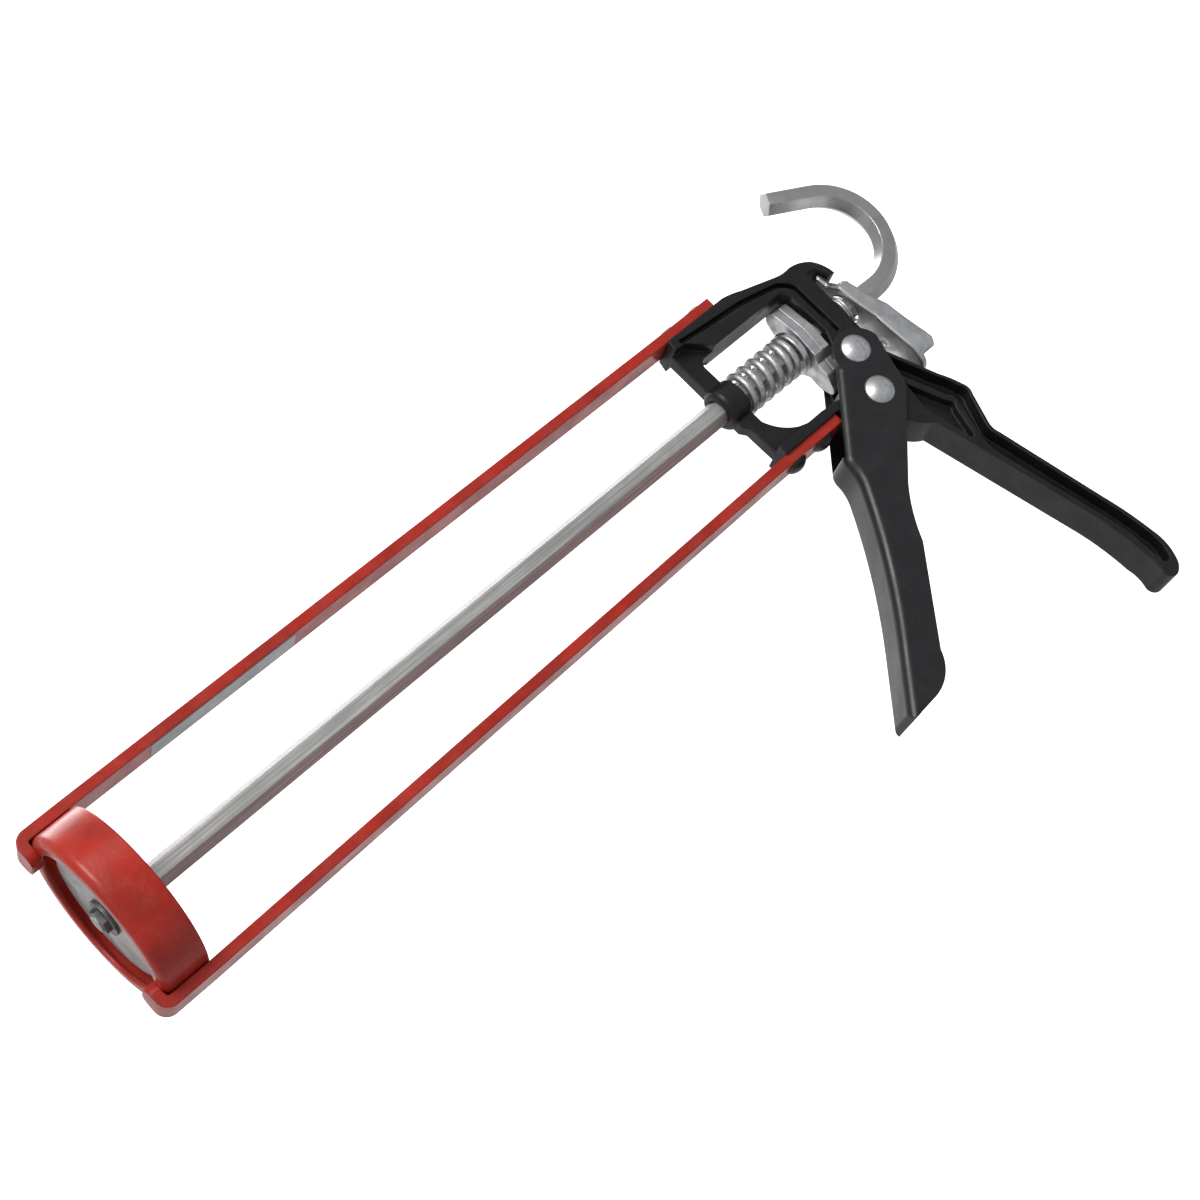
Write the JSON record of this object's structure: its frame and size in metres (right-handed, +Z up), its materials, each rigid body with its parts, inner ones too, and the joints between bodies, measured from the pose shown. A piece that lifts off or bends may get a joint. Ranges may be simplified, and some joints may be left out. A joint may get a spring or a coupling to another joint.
{
  "type": "caulking gun",
  "caption": "Skeleton-frame caulking gun: red cradle strips and end ring, hooked push rod with plunger disc, black cast handle, pressed trigger and thumb release plate.",
  "frame": {"origin": "where the push rod's axis crosses the front face of the cartridge ring", "axes": "+X along the push rod from the ring towards the hook, +Z up with the handle hanging down, +Y completes a right-handed frame"},
  "size_m": [0.3319, 0.0542, 0.1741],
  "materials": {
    "red_gloss": "gloss",
    "cast_black": "semi-gloss",
    "sheet_black": "semi-gloss",
    "bright_zinc": "bright zinc plate",
    "plain_steel": "satin",
    "spring_wire": "drawn wire",
    "rod_zinc": "matt zinc",
    "disc_zinc": "matt zinc",
    "label_film": "satin"
  },
  "bodies": {
    "frame": {"handle_body": "cast_black", "upper_rail": "red_gloss", "lower_rail": "red_gloss", "front_ring": "red_gloss", "upper_rail_rivets": "bright_zinc", "lower_rail_rivets": "bright_zinc", "pivot_rivet": "bright_zinc", "rail_label": "label_film", "drive_spring": "spring_wire", "release_spring": "spring_wire"},
    "rod": {"plunger_rod": "rod_zinc", "plunger_nut": "bright_zinc", "plunger_washers": "bright_zinc"},
    "plunger": {"plunger_disc": "disc_zinc"},
    "trigger": {"trigger": "sheet_black", "drive_rivet": "bright_zinc", "drive_roller": "plain_steel"},
    "drive": {"drive_plate_front": "plain_steel", "drive_plate_rear": "plain_steel", "spring_seat": "bright_zinc"},
    "release": {"release_lever": "bright_zinc"}
  },
  "joints": [
    {"name": "rod_slide", "type": "slide", "parent": "frame", "child": "rod", "axis": [1, 0, 0], "range_m": [0, 0.218]},
    {"name": "plunger_spin", "type": "hinge", "parent": "rod", "child": "plunger", "pos_m": [0.003, 0, 0], "axis": [1, 0, 0], "continuous": true},
    {"name": "trigger_pull", "type": "hinge", "parent": "frame", "child": "trigger", "pos_m": [0.2759, 0, -0.0276], "axis": [0, -1, 0], "range_deg": [0, 30], "stiffness_Nm_per_rad": 0.33, "springref_deg": -17.19},
    {"name": "drive_slide", "type": "slide", "parent": "frame", "child": "drive", "axis": [-1, 0, 0], "range_m": [0, 0.0079], "deforming": ["drive_spring"]},
    {"name": "release_press", "type": "hinge", "parent": "frame", "child": "release", "pos_m": [0.2924, 0, 0.0119], "axis": [0, 1, 0], "range_deg": [0, 3.2], "stiffness_Nm_per_rad": 0.3, "springref_deg": -5.73, "deforming": ["release_spring"]}
  ],
  "couplings": [
    {"joint": "drive_slide", "follows": "trigger_pull", "m_per_rad": 0.01483}
  ]
}
